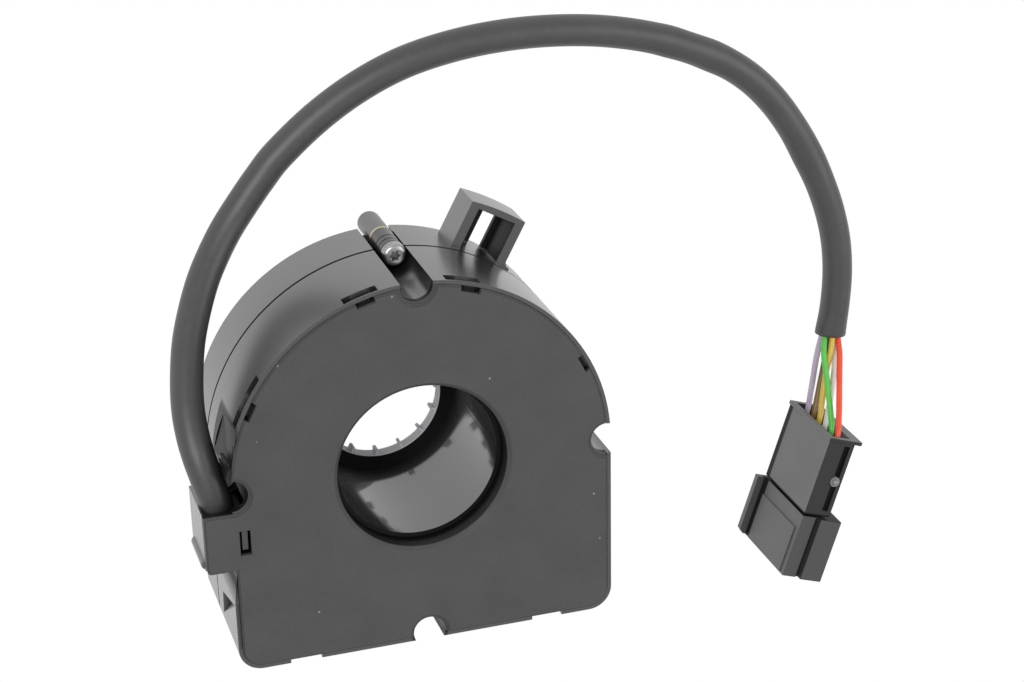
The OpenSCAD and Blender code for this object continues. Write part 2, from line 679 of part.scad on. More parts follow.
// Bar of the small metal clip, let into the wall's flat beside the lead
module clip_bar() {
    translate([-body_r + 0.5, 5, gland_z - 2.4]) cube([1.1, 1.6, 4.2]);
}

// Clip: its bar with a round button on it
module gland_clip() {
    color("#9a9ca0") {
        clip_bar();
        translate([-body_r + 0.75, 5.8, gland_z]) sphere(r = 0.6, $fn = 32);
    }
}

// Tube swept along points with a ring of sides at each of them
function unit(v) = v / norm(v);
function heading(p, i) = unit(p[min(i + 1, len(p) - 1)] - p[max(i - 1, 0)]);
module tube(points, d, sides) {
    n = len(points);
    rings = [for (i = [0:n - 1]) let (t = heading(points, i), side = unit(cross([0.03, 0.02, 1], t)), up = cross(t, side))
        for (k = [0:sides - 1]) points[i] + d / 2 * (cos(360 * k / sides) * side + sin(360 * k / sides) * up)];
    polyhedron(rings, concat(
        [[for (k = [0:sides - 1]) k]],
        [for (i = [0:n - 2]) for (k = [0:sides - 1]) [i * sides + k, (i + 1) * sides + k,
            (i + 1) * sides + (k + 1) % sides, i * sides + (k + 1) % sides]],
        [[for (k = [sides - 1:-1:0]) (n - 1) * sides + k]]));
}

module cable_sleeve() {
    color("#1a1a1c") tube(cable_points, cable_d, 12);
}

// One wire from the sleeve's cut end into the connector's pocket
module wire(i) {
    height = wire_low + i * wire_pitch;
    tube(concat(wire_points[i], [conn_point([0.5, conn_t / 2, height]), conn_point([conn_pocket, conn_t / 2, height])]),
        wire_d, 8);
}

module wire_violet() color("#8a78a8") wire(0);
module wire_brown() color("#5a4028") wire(1);
module wire_yellow() color("#d8c068") wire(2);
module wire_white() color("#d8d4c8") wire(3);
module wire_green() color("#58c858") wire(4);
module wire_red() color("#f05a50") wire(5);

module in_connector() {
    translate(conn_pos) rotate(conn_at) children();
}

// Rear half of the connector: box with an open pocket, a rim and a long recess in its narrow side
module connector_body() {
    color("#6e6f72") in_connector() difference() {
        union() {
            translate([0, 0, foot]) cube([conn_len, conn_t, conn_w]);
            translate([0, -0.3, foot - 0.3]) cube([0.9, conn_t + 2, conn_w + 0.6]);
        }
        translate([-1, conn_wall, foot + conn_wall])
            cube([conn_pocket + 1, conn_t - 2 * conn_wall, conn_w - 2 * conn_wall]);
        translate([1.8, 4.6, foot + conn_w - 1]) cube([conn_len - 3.2, 1.5, 2]);
        translate([11.4, 5.3, foot + conn_w - 1.6]) cylinder(r = 1.5, h = 3, $fn = 32);
        // Holes for the contacts
        for (k = [0:5]) translate([conn_pocket - 1, conn_t / 2, wire_low + k * wire_pitch])
            rotate([0, 90, 0]) cylinder(r = 0.4, h = conn_len, $fn = 24);
    }
}

// Locking peg in the body's narrow side
module connector_peg() {
    color("#8b8c90") in_connector() translate([11.4, 5.3, foot + conn_w - 1.6]) {
        cylinder(r = 1.3, h = 1.8, $fn = 32);
        translate([0, 0, 1.8]) sphere(r = 0.9, $fn = 32);
    }
}

// Front half of the connector: open box with a foot rail, grooves and a raised far part
module connector_shroud() {
    gap = 0.6;
    len = shroud_len - gap;
    color("#67686b") in_connector() translate([conn_len, 0, 0]) difference() {
        union() {
            translate([gap, 0, foot]) cube([len, shroud_t, conn_w]);
            translate([0, 1.5, foot + 1.5]) cube([1, conn_t - 3, conn_w - 3]);
            // Foot rail below the wide face
            translate([gap, -rail_out, 0]) cube([len - 0.5, rail_out + 1, foot + 0.9]);
            translate([gap, 4.7, 0]) cube([len, shroud_t - 4.7, foot + 1]);
            // Raised far part
            translate([gap, 4.7, foot + conn_w - 1]) cube([len, shroud_t - 4.7, 2]);
            // Raised panel on the wide face
            translate([4.6, -0.4, foot + 1.6]) cube([shroud_len - 5, 1, conn_w - 3.2]);
        }
        translate([3, 1.2, foot + 1.3]) cube([shroud_len, shroud_t - 2.4, conn_w - 2.6]);
        translate([-1, 3.8, foot + conn_w - 0.6]) cube([shroud_len + 2, 0.9, 2]);
        translate([-1, -0.6, foot + 0.9]) cube([shroud_len + 2, 0.9, 0.7]);
        // Bevelled end of the foot rail
        translate([shroud_len - 0.5, -rail_out, -1]) rotate(45) cube([1.6, 1.6, 6], center = true);
        // Holes for the contacts
        for (k = [0:5]) translate([-1, conn_t / 2, wire_low + k * wire_pitch])
            rotate([0, 90, 0]) cylinder(r = 0.4, h = 5, $fn = 24);
    }
}

// Contacts: pins that reach from the pocket's floor into the shroud
module contact_pins() {
    color("#c9b068") in_connector() for (k = [0:5])
        translate([conn_pocket, conn_t / 2, wire_low + k * wire_pitch]) rotate([0, 90, 0])
            cylinder(r = 0.4, h = conn_len - conn_pocket + pin_reach, $fn = 24);
}

rear_shell();
front_shell();
front_cover();
rotor_hub();
driver_ring();
measuring_gear_a();
measuring_gear_b();
magnet_a();
magnet_b();
circuit_board();
angle_chip_a();
angle_chip_b();
processor_chip();
board_capacitors();
wire_header();
board_screws();
fixing_screw();
screw_collar();
brass_ring();
spacer_sleeve();
cable_gland();
gland_clip();
cable_sleeve();
wire_violet();
wire_brown();
wire_yellow();
wire_white();
wire_green();
wire_red();
connector_body();
connector_shroud();
connector_peg();
contact_pins();
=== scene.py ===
"""Steering angle sensor, dressed for its portrait.

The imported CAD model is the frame. This script adds the camera, a pale studio, the lead and the
wires as smooth tubes, and a finish for every piece. All lengths are in metres unless a name ends
in _mm, and every piece lies where the CAD says.
"""

from __future__ import annotations

import logging
import math
from dataclasses import dataclass
from enum import Enum

import bpy
import numpy as np
from mathutils import Matrix, Vector

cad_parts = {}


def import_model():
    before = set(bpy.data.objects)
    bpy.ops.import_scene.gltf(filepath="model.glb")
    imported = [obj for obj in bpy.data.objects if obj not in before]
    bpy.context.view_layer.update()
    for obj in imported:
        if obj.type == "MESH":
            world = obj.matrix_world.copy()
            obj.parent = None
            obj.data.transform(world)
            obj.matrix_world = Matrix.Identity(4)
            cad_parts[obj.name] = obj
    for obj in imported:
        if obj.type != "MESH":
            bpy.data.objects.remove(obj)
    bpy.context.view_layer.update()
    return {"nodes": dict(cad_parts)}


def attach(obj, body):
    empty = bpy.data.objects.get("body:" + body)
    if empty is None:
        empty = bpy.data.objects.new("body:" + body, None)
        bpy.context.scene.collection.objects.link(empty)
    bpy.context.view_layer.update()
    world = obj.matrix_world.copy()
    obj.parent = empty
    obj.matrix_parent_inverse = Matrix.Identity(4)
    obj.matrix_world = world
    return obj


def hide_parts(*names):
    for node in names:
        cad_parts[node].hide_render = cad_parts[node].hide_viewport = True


LOG = logging.getLogger("sensor")
MM = 0.001
HOUSING = "housing"  # the body that the lead and the wires belong to
SPAN_STEPS = 12  # samples on each span of a curve
TILTED_UP = (0.03, 0.02, 1.0)  # fixed direction from which a path's normals are worked out
CAP_DOME = 0.02  # how far the middle of a tube's end stands out, as a share of its radius
BORDER = 0.0001  # width in metres of a border between two colours
MOTTLE_RANGE = (0.3, 0.7)  # grey values of the mottle that count as dark and as light
UP_RANGE = (0.6, 0.9)  # upward share of the normal over which painted top shade sets in, from sideways faces to upward ones
SHADE_ZONE_ROUGH = 0.6  # roughness inside a box of painted shade
BEVEL_SAMPLES = 6  # rays with which an edge is softened
DUST_COLOUR = (0.28, 0.275, 0.26, 1.0)  # linear
CONNECTOR_TURN = -108.3  # degrees about the vertical
BRACKET_TURN = 61.5  # degrees about the vertical

Triple = tuple[float, float, float]


# ---------------------------------------------------------------- curves and surfaces


def smooth_path(points: np.ndarray) -> np.ndarray:
    """Lays a uniform Catmull-Rom curve through points.

    On each span the point is the cubic with the two span ends as its ends and half of the
    neighbours' difference as its slopes. Past both ends the first and the last step go on.

    Args:
        points: The points that the curve passes, one row each.

    Returns:
        The curve's samples, one row each.
    """
    p = np.vstack([2 * points[0] - points[1], points, 2 * points[-1] - points[-2]])
    t = np.linspace(0.0, 1.0, SPAN_STEPS, endpoint=False)[None, :, None]
    a, b, c, d = (p[i:len(p) - 3 + i, None, :] for i in range(4))
    square, cube = 2 * a - 5 * b + 4 * c - d, 3 * b - a - 3 * c + d
    spans = 0.5 * (2 * b + (c - a) * t + square * t**2 + cube * t**3)
    return np.vstack([spans.reshape(-1, 3), points[-1:]])


def even_path(path: np.ndarray, count: int) -> np.ndarray:
    """Resamples a path at even steps of its own length.

    Args:
        path: The path's samples.
        count: How many samples the result has.

    Returns:
        The samples at even steps.
    """
    run = np.concatenate([[0.0], np.cumsum(np.linalg.norm(np.diff(path, axis=0), axis=1))])
    at = np.linspace(0.0, run[-1], count)
    return np.stack([np.interp(at, run, path[:, k]) for k in range(3)], axis=1)


def path_frames(path: np.ndarray) -> tuple[np.ndarray, np.ndarray, np.ndarray]:
    """Gives each sample of a path a tangent and two normals.

    The first normal is a fixed, slightly tilted upward direction crossed with the tangent, so it
    turns smoothly along any path that never runs straight up. The second is the tangent crossed
    with the first.

    Args:
        path: The path's samples.

    Returns:
        Tangents, sideways normals and upward normals.
    """
    tangent = np.gradient(path, axis=0)
    tangent /= np.linalg.norm(tangent, axis=1, keepdims=True)
    side = np.cross(np.array(TILTED_UP), tangent)
    side /= np.linalg.norm(side, axis=1, keepdims=True)
    return tangent, side, np.cross(tangent, side)


def ring_faces(rows: int, columns: int) -> np.ndarray:
    """Numbers the four corners of each cell between rings of points.

    Args:
        rows: Number of rings.
        columns: Points on each ring.

    Returns:
        One row of four point numbers for each cell. The last column meets the first one.
    """
    i, j = np.meshgrid(np.arange(rows - 1), np.arange(columns), indexing="ij")
    k = (j + 1) % columns
    cells = [i * columns + j, i * columns + k, (i + 1) * columns + k, (i + 1) * columns + j]
    return np.stack(cells, axis=-1).reshape(-1, 4)


def make_object(
    name: str, points: np.ndarray, faces: list, smooth: bool = True
) -> bpy.types.Object:
    """Puts points and faces into a mesh object at the origin.

    Args:
        name: The object's name.
        points: One row for each point.
        faces: Lists of point numbers.
        smooth: Whether the faces are shaded smooth.

    Returns:
        The new object, linked to the scene.
    """
    mesh = bpy.data.meshes.new(name)
    mesh.from_pydata(points.tolist(), [], [list(map(int, f)) for f in faces])
    mesh.polygons.foreach_set("use_smooth", [smooth] * len(mesh.polygons))
    mesh.update()
    piece = bpy.data.objects.new(name, mesh)
    bpy.context.scene.collection.objects.link(piece)
    return piece


def tube(
    name: str, path: np.ndarray, radius: float, sides: int, flatten: np.ndarray | float = 0.0
) -> bpy.types.Object:
    """Sweeps a round section along a path.

    A point at the angle a is the path's sample plus the radius times (cos a times the sideways
    normal, plus sin a times the upward normal). A flattened ring is wider and lower by its
    share. Each end is closed by a fan on a slightly domed middle point.

    Args:
        name: The object's name.
        path: The centreline's samples.
        radius: The tube's radius.
        sides: Points on each ring.
        flatten: Share by which each ring is pressed flat.

    Returns:
        The tube.
    """
    tangent, side, up = path_frames(path)
    angle = np.linspace(0.0, 2 * math.pi, sides, endpoint=False)
    rows = len(path)
    press = np.broadcast_to(flatten, rows)[:, None, None]
    wide = radius * (1 + press) * np.cos(angle)[None, :, None] * side[:, None, :]
    high = radius * (1 - press) * np.sin(angle)[None, :, None] * up[:, None, :]
    rings = (path[:, None, :] + wide + high).reshape(-1, 3)
    dome = CAP_DOME * radius
    caps = np.array([path[0] - tangent[0] * dome, path[-1] + tangent[-1] * dome])
    faces = [list(f) for f in ring_faces(rows, sides)]
    first, last = rows * sides, rows * sides + 1
    base = (rows - 1) * sides
    faces += [[first, (k + 1) % sides, k] for k in range(sides)]
    faces += [[last, base + k, base + (k + 1) % sides] for k in range(sides)]
    return make_object(name, np.vstack([rings, caps]), faces)


# ---------------------------------------------------------------- shader groups


def group_tree(
    name: str, inputs: dict[str, tuple[str, object]], outputs: dict[str, str]
) -> bpy.types.NodeTree:
    """Makes an empty shader group with named sockets.

    Args:
        name: The group's name.
        inputs: Socket name to its type and default value.
        outputs: Socket name to its type.

    Returns:
        The group's node tree.
    """
    tree = bpy.data.node_groups.new(name, "ShaderNodeTree")
    for label, (kind, value) in inputs.items():
        socket = tree.interface.new_socket(label, in_out="INPUT", socket_type=kind)
        socket.default_value = value
    for label, kind in outputs.items():
        tree.interface.new_socket(label, in_out="OUTPUT", socket_type=kind)
    return tree


class NodeKit:
    """Short ways to place and join nodes in one tree."""

    def __init__(self, tree: bpy.types.NodeTree) -> None:
        """Keeps the tree that the nodes go into."""
        self.tree = tree

    def node(self, kind: str, **settings: object) -> bpy.types.Node:
        """Places a node and sets its properties.

        Args:
            kind: The node's type.
            settings: Property names and values.

        Returns:
            The node.
        """
        made = self.tree.nodes.new(kind)
        for key, value in settings.items():
            setattr(made, key, value)
        return made

    def link(self, source: bpy.types.NodeSocket, goal: bpy.types.NodeSocket) -> None:
        """Joins two sockets."""
        self.tree.links.new(source, goal)

    def feed(self, goal: bpy.types.NodeSocket, value: object) -> None:
        """Joins a socket to another one, or sets it to a number or a colour.

        Args:
            goal: The socket that is fed.
            value: The other socket, the number or the colour.
        """
        if isinstance(value, bpy.types.NodeSocket):
            self.link(value, goal)
        else:
            goal.default_value = value

    def math(self, operation: str, *values: object) -> bpy.types.NodeSocket:
        """Places a Math node.

        Args:
            operation: What the node works out.
            values: The numbers or sockets that it works on.

        Returns:
            The result.
        """
        made = self.node("ShaderNodeMath", operation=operation)
        for socket, value in zip(made.inputs, values):
            self.feed(socket, value)
        return made.outputs[0]

    def ramp(
        self, value: object, low: float, high: float, to_low: float = 0.0, to_high: float = 1.0
    ) -> bpy.types.NodeSocket:
        """Maps a value from one range to another, clamped.

        Args:
            value: The number or socket.
            low: Value that gives to_low.
            high: Value that gives to_high.
            to_low: Result at and before low.
            to_high: Result at and past high.

        Returns:
            The result.
        """
        made = self.node("ShaderNodeMapRange", clamp=True)
        labels = ("Value", "From Min", "From Max", "To Min", "To Max")
        for label, number in zip(labels, (value, low, high, to_low, to_high)):
            self.feed(made.inputs[label], number)
        return made.outputs["Result"]

    def mix(self, factor: object, first: object, second: object) -> bpy.types.NodeSocket:
        """Mixes two colours.

        Args:
            factor: Share of the second colour.
            first: The first colour.
            second: The second colour.

        Returns:
            The mixed colour.
        """
        made = self.node("ShaderNodeMix", data_type="RGBA")
        self.feed(made.inputs[0], factor)
        self.feed(made.inputs[6], first)
        self.feed(made.inputs[7], second)
        return made.outputs[2]

    def noise(
        self, vector: object, scale: object, detail: float, rough: float
    ) -> bpy.types.NodeSocket:
        """Places a noise texture.

        Args:
            vector: Where the noise is read.
            scale: Its fineness.
            detail: Number of finer layers.
            rough: Weight of the finer layers.

        Returns:
            The grey value.
        """
        made = self.node("ShaderNodeTexNoise", noise_dimensions="3D")
        self.feed(made.inputs["Vector"], vector)
        self.feed(made.inputs["Scale"], scale)
        made.inputs["Detail"].default_value = detail
        made.inputs["Roughness"].default_value = rough
        return made.outputs["Fac"]


def build_grain_group() -> bpy.types.NodeTree:
    """Moulded grain: fine noise as a bump, and its mean with broad noise as a mottle.

    Returns:
        A group with Normal and Mottle outputs.
    """
    tree = group_tree(
        "moulded_grain",
        {
            "Vector": ("NodeSocketVector", (0.0, 0.0, 0.0)),
            "Scale": ("NodeSocketFloat", 1800.0),
            "Depth": ("NodeSocketFloat", 0.00001),
            "Normal In": ("NodeSocketVector", (0.0, 0.0, 0.0)),
        },
        {"Normal": "NodeSocketVector", "Mottle": "NodeSocketFloat"},
    )
    kit = NodeKit(tree)
    into, out = kit.node("NodeGroupInput"), kit.node("NodeGroupOutput")
    fine = kit.noise(into.outputs["Vector"], into.outputs["Scale"], detail=2.0, rough=0.6)
    broad = kit.noise(into.outputs["Vector"], scale=90.0, detail=3.0, rough=0.55)
    bump = kit.node("ShaderNodeBump")
    bump.inputs["Strength"].default_value = 1.0
    kit.link(into.outputs["Depth"], bump.inputs["Distance"])
    kit.link(fine, bump.inputs["Height"])
    kit.link(into.outputs["Normal In"], bump.inputs["Normal"])
    kit.link(bump.outputs["Normal"], out.inputs["Normal"])
    both = kit.math("ADD", fine, broad)
    kit.link(kit.math("MULTIPLY", both, 0.5), out.inputs["Mottle"])
    return tree


def build_dust_group() -> bpy.types.NodeTree:
    """Specks of dust: round spots in the cells whose random value lies under the amount.

    Returns:
        A group with a Mask output.
    """
    tree = group_tree(
        "dust_specks",
        {
            "Vector": ("NodeSocketVector", (0.0, 0.0, 0.0)),
            "Scale": ("NodeSocketFloat", 700.0),
            "Amount": ("NodeSocketFloat", 0.05),
        },
        {"Mask": "NodeSocketFloat"},
    )
    kit = NodeKit(tree)
    into, out = kit.node("NodeGroupInput"), kit.node("NodeGroupOutput")
    cells = kit.node("ShaderNodeTexVoronoi", voronoi_dimensions="3D", feature="F1")
    kit.link(into.outputs["Vector"], cells.inputs["Vector"])
    kit.link(into.outputs["Scale"], cells.inputs["Scale"])
    speck = kit.ramp(cells.outputs["Distance"], low=0.22, high=0.1)
    pick = kit.node("ShaderNodeSeparateColor")
    kit.link(cells.outputs["Color"], pick.inputs[0])
    chosen = kit.math("LESS_THAN", pick.outputs[0], into.outputs["Amount"])
    kit.link(kit.math("MULTIPLY", speck, chosen), out.inputs["Mask"])
    return tree


class Groups:
    """The shader groups, each built once."""

    def __init__(self) -> None:
        """Builds the groups."""
        self.grain = build_grain_group()
        self.dust = build_dust_group()


# ---------------------------------------------------------------- finishes


@dataclass(frozen=True)
class ShadeZone:
    """A box of painted shade, in which a surface is painted dark and made rougher, such as an inner
    wall or an open seam.

    Attributes:
        low_mm: The box's lower corner in the part's frame, or in the turned frame.
        high_mm: The box's upper corner.
        soft_mm: Width of the change at the box's sides, for each axis.
        share: How dark it gets.
        turn: Turn of the box about the bore axis in degrees.
    """

    low_mm: Triple
    high_mm: Triple
    soft_mm: Triple = (0.05, 0.05, 0.05)
    share: float = 1.0
    turn: float = 0.0

    def mask(self, kit: NodeKit, where: bpy.types.NodeSocket) -> bpy.types.NodeSocket:
        """Places the nodes that tell how far a point lies in the box.

        Args:
            kit: The material's nodes.
            where: The place on the object.

        Returns:
            A value from 0 outside the box to the share inside.
        """
        turned = kit.node("ShaderNodeVectorRotate", rotation_type="Z_AXIS")
        kit.link(where, turned.inputs["Vector"])
        turned.inputs["Angle"].default_value = -math.radians(self.turn)
        place = kit.node("ShaderNodeSeparateXYZ")
        kit.link(turned.outputs[0], place.inputs[0])
        inside: object = self.share
        for axis in range(3):
            half = self.soft_mm[axis] / 2 * MM
            low, high = self.low_mm[axis] * MM, self.high_mm[axis] * MM
            above = kit.ramp(place.outputs[axis], low - half, low + half)
            below = kit.ramp(place.outputs[axis], high + half, high - half)
            inside = kit.math("MULTIPLY", kit.math("MULTIPLY", inside, above), below)
        return inside


@dataclass(frozen=True)
class Plastic:
    """Finish of one piece: moulded plastic or rubber, or metal with a metal share.

    Attributes:
        colour: Base colour, linear.
        rough: Roughness of the surface.
        spread: How far the mottling moves the roughness.
        shade: How far the mottling moves the colour, as a share.
        grain: Depth of the moulded grain in metres.
        grain_scale: Fineness of the grain.
        ior: Refractive index.
        coat: Weight of the glossy skin.
        coat_rough: Roughness of that skin.
        dust: Share of cells that hold a speck of dust.
        edge: Radius of the softened edges in metres.
        specular: Specular level.
        metal: Share of metal.
        inner_radius: Distance from the bore axis beyond which painted shade begins, if above 0.
        painted_shade_colour: Colour of the painted shade, linear.
        dark_under: Height in metres under which painted shade begins, if above 0.
        coat_ior: Refractive index of the glossy skin.
        painted_top_shade: Colour of painted shade on the faces that look up, if they have it.
        zones: Boxes of painted shade, in which the surface is also rougher and loses its coat.
    """

    colour: Triple
    rough: float = 0.4
    spread: float = 0.08
    shade: float = 0.12
    grain: float = 0.000012
    grain_scale: float = 2200.0
    ior: float = 1.5
    coat: float = 0.0
    coat_rough: float = 0.1
    dust: float = 0.0
    edge: float = 0.0
    specular: float = 0.5
    metal: float = 0.0
    inner_radius: float = 0.0
    painted_shade_colour: Triple = (0.02, 0.02, 0.022)
    dark_under: float = 0.0
    coat_ior: float = 1.5
    painted_top_shade: Triple | None = None
    zones: tuple[ShadeZone, ...] = ()

    def build(self, name: str, groups: Groups) -> bpy.types.Material:
        """Builds the material.

        Args:
            name: The material's name.
            groups: The shared shader groups.

        Returns:
            The material.
        """
        material = bpy.data.materials.new(name)
        material.use_nodes = True
        kit = NodeKit(material.node_tree)
        kit.tree.nodes.clear()
        out = kit.node("ShaderNodeOutputMaterial")
        skin = kit.node("ShaderNodeBsdfPrincipled")
        kit.link(skin.outputs[0], out.inputs["Surface"])
        where = kit.node("ShaderNodeTexCoord").outputs["Object"]
        grain = self.grain_node(kit, groups, where)
        kit.link(grain.outputs["Normal"], skin.inputs["Normal"])
        mottle = grain.outputs["Mottle"]
        low, high = self.rough - self.spread / 2, self.rough + self.spread / 2
        rough = kit.ramp(mottle, *MOTTLE_RANGE, low, high)
        colour = self.mottled_colour(kit, groups, where, mottle)
        skin.inputs["Coat Weight"].default_value = self.coat
        # Painted shade: in the boxes the colour turns to the shade colour, the surface gets rougher
        # and its coat fades.
        if self.zones:
            painted_shade = self.painted_shade_share(kit, where)
            colour = kit.mix(painted_shade, colour, self.painted_shade_colour + (1.0,))
            rough = kit.math("MAXIMUM", rough, kit.math("MULTIPLY", painted_shade, SHADE_ZONE_ROUGH))
            if self.coat > 0:
                kit.link(kit.ramp(painted_shade, 0.0, 1.0, self.coat, 0.0), skin.inputs["Coat Weight"])
        kit.link(colour, skin.inputs["Base Color"])
        kit.link(rough, skin.inputs["Roughness"])
        skin.inputs["IOR"].default_value = self.ior
        skin.inputs["Specular IOR Level"].default_value = self.specular
        skin.inputs["Metallic"].default_value = self.metal
        skin.inputs["Coat IOR"].default_value = self.coat_ior
        skin.inputs["Coat Roughness"].default_value = self.coat_rough
        return material

    def grain_node(
        self, kit: NodeKit, groups: Groups, where: bpy.types.NodeSocket
    ) -> bpy.types.Node:
        """Places the moulded grain over the plain normal, or over that of softened edges.

        Args:
            kit: The material's nodes.
            groups: The shared shader groups.
            where: The place on the object.

        Returns:
            The grain's group node.
        """
        grain = kit.node("ShaderNodeGroup", node_tree=groups.grain)
        kit.link(where, grain.inputs["Vector"])
        grain.inputs["Scale"].default_value = self.grain_scale
        grain.inputs["Depth"].default_value = self.grain
        if self.edge > 0:
            soft = kit.node("ShaderNodeBevel", samples=BEVEL_SAMPLES)
            soft.inputs["Radius"].default_value = self.edge
            normal = soft.outputs[0]
        else:
            normal = kit.node("ShaderNodeNewGeometry").outputs["Normal"]
        kit.link(normal, grain.inputs["Normal In"])
        return grain

    def mottled_colour(
        self, kit: NodeKit, groups: Groups, where: bpy.types.NodeSocket,
        mottle: bpy.types.NodeSocket,
    ) -> bpy.types.NodeSocket:
        """Mixes the mottled colour, the dust and the painted shade on upward faces, beyond a radius
        and under a height.

        Args:
            kit: The material's nodes.
            groups: The shared shader groups.
            where: The place on the object.
            mottle: Grey value of the mottle.

        Returns:
            The colour.
        """
        # Colour of the painted shade.
        other = self.painted_shade_colour + (1.0,)
        dark = tuple(c * (1 - self.shade) for c in self.colour) + (1.0,)
        light = tuple(min(1.0, c * (1 + self.shade)) for c in self.colour) + (1.0,)
        colour = kit.mix(kit.ramp(mottle, *MOTTLE_RANGE), dark, light)
        if self.dust > 0:
            dust = kit.node("ShaderNodeGroup", node_tree=groups.dust)
            kit.link(where, dust.inputs["Vector"])
            dust.inputs["Amount"].default_value = self.dust
            colour = kit.mix(dust.outputs["Mask"], colour, DUST_COLOUR)
        # Painted shade on the faces that look up.
        if self.painted_top_shade is not None:
            facing = kit.node("ShaderNodeSeparateXYZ")
            kit.link(kit.node("ShaderNodeNewGeometry").outputs["Normal"], facing.inputs[0])
            upward = kit.ramp(facing.outputs["Z"], *UP_RANGE)
            colour = kit.mix(upward, colour, self.painted_top_shade + (1.0,))
        # Painted shade beyond a radius from the bore axis.
        if self.inner_radius > 0:
            flat = kit.node("ShaderNodeVectorMath", operation="MULTIPLY")
            kit.link(where, flat.inputs[0])
            flat.inputs[1].default_value = (1.0, 1.0, 0.0)
            reach = kit.node("ShaderNodeVectorMath", operation="LENGTH")
            kit.link(flat.outputs[0], reach.inputs[0])
            beyond = kit.ramp(reach.outputs["Value"], self.inner_radius, self.inner_radius + BORDER)
            colour = kit.mix(beyond, colour, other)
        # Painted shade under a height.
        if self.dark_under > 0:
            place = kit.node("ShaderNodeSeparateXYZ")
            kit.link(where, place.inputs[0])
            under = kit.ramp(place.outputs["Z"], self.dark_under, self.dark_under - BORDER)
            colour = kit.mix(under, colour, other)
        return colour

    def painted_shade_share(self, kit: NodeKit, where: bpy.types.NodeSocket) -> bpy.types.NodeSocket:
        """Takes the highest share of painted shade of all zones at a place.

        Args:
            kit: The material's nodes.
            where: The place on the object.

        Returns:
            The highest share.
        """
        highest, *others = (zone.mask(kit, where) for zone in self.zones)
        for share in others:
            highest = kit.math("MAXIMUM", highest, share)
        return highest


# Boxes of painted shade, by finish, in millimetres.
SHELL_ZONES = (
    # Painted shade in the open seam
    ShadeZone((-60, -60, 20.1), (60, 60, 20.95)),
    # Painted shade on the inner walls of the bracket
    ShadeZone((44.6, -4.87, 8), (54.45, 4.87, 19.5), share=0.9, turn=BRACKET_TURN),
    # Painted shade in the rear part of the screw's channel
    ShadeZone((-4.2, 38.6, 5), (4.2, 43.9, 20.2), share=0.95),
    # Painted shade on the flat under the outlet, and in the notch below it
    ShadeZone((-44.38, -24.5, 21), (-40, -17.9, 44.1), (0.1, 5.0, 0.5), share=0.97),
    ShadeZone((-43.9, -38, 26), (-40, -26.4, 44.1), (1.0, 0.3, 0.5), share=0.7),
    # Painted shade in the notch above the outlet
    ShadeZone((-44.3, 3.5, 27), (-41.2, 16.5, 44.1), (0.8, 0.5, 0.5), share=0.8),
    # Painted shade in the channels beside the lead and at the flat side
    ShadeZone((-48, -4.15, 0), (-38.5, 4.2, 41.5), share=0.95),
    ShadeZone((-4.2, -47, 0), (4.2, -38, 43.5), share=0.75),
)
HUB_ZONES = (
    # Painted shade on the front rim of the hub, in the gap at the cover's hole
    ShadeZone((-21, -21, 38.4), (21, 21, 39)),
)
SCREW_ZONES = (
    # Painted shade under the head, in the gap at the collar, and in its socket
    ShadeZone((-5, 38, 22.4), (5, 50, 23.0)),
    ShadeZone((-0.95, 42.55, 23.3), (1.45, 44.95, 24.5), share=0.6),
)
PLUG_ZONES = (
    # Painted contact shadow at the foot of the wide face
    ShadeZone((-15.2, 109.8, 0), (4.9, 110.1, 2.8), (0.2, 0.2, 0.5), turn=CONNECTOR_TURN),
    # Painted shade in the groove in the narrow side
    ShadeZone((-14.4, 114.45, 21), (3.5, 116.1, 26), (0.1, 0.2, 0.2), turn=CONNECTOR_TURN),
    # Painted shade at the end towards the shroud, in the gap between the two
    ShadeZone((4.5, 109.0, 0), (6.0, 118.0, 26.0), (0.2, 0.1, 0.1), turn=CONNECTOR_TURN),
)
SHROUD_ZONES = (
    # Painted shade at the end towards the plug, in the gap between the two
    ShadeZone((4.7, 109.0, 0), (5.6, 121.0, 26.0), (0.1, 0.1, 0.1), turn=CONNECTOR_TURN),
    # Painted shade in the groove in the narrow side
    ShadeZone((5.4, 113.6, 23.55), (23.0, 114.65, 27.0), (0.1, 0.2, 0.1), turn=CONNECTOR_TURN),
    # Painted shade in the groove over the foot rail
    ShadeZone((5.4, 109.2, 1.5), (23.0, 110.3, 3.2), (0.1, 0.1, 0.3), turn=CONNECTOR_TURN),
)
LEAD_ZONES = (
    # Where the lead lies in the housing's shade
    ShadeZone((-46.2, -14, 28), (-40, 11, 41), (3.0, 3.0, 3.0), share=0.9),
)


